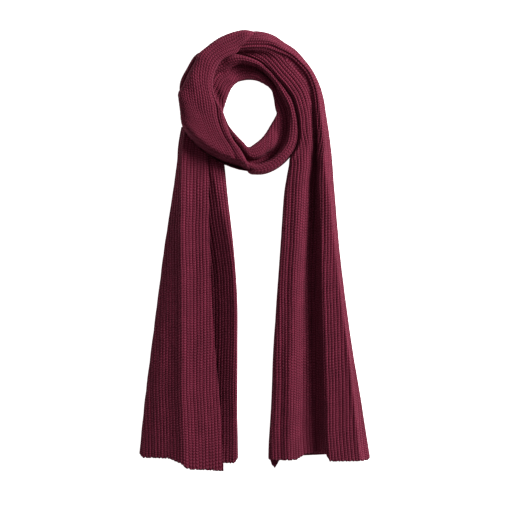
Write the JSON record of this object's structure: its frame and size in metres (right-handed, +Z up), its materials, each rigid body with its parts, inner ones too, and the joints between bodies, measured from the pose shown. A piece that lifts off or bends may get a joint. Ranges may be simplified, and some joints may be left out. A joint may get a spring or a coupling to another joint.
{
  "type": "knit scarf",
  "caption": "Long rib-knit scarf laid flat, wrapped round a neck opening, with its folded ends lying side by side below the loop.",
  "frame": {"origin": "on the floor under the middle of the whole scarf's box", "axes": "+Y runs from the hems to the top of the loop, +X to the right as seen from above, +Z up from the floor"},
  "size_m": [0.3478, 0.6614, 0.0436],
  "materials": {
    "rib_knit": "soft brushed wool knit"
  },
  "bodies": {
    "root": {"left_tail": "rib_knit", "inner_turn": "rib_knit", "front_turn": "rib_knit", "over_turn": "rib_knit", "right_tail": "rib_knit"}
  },
  "joints": []
}
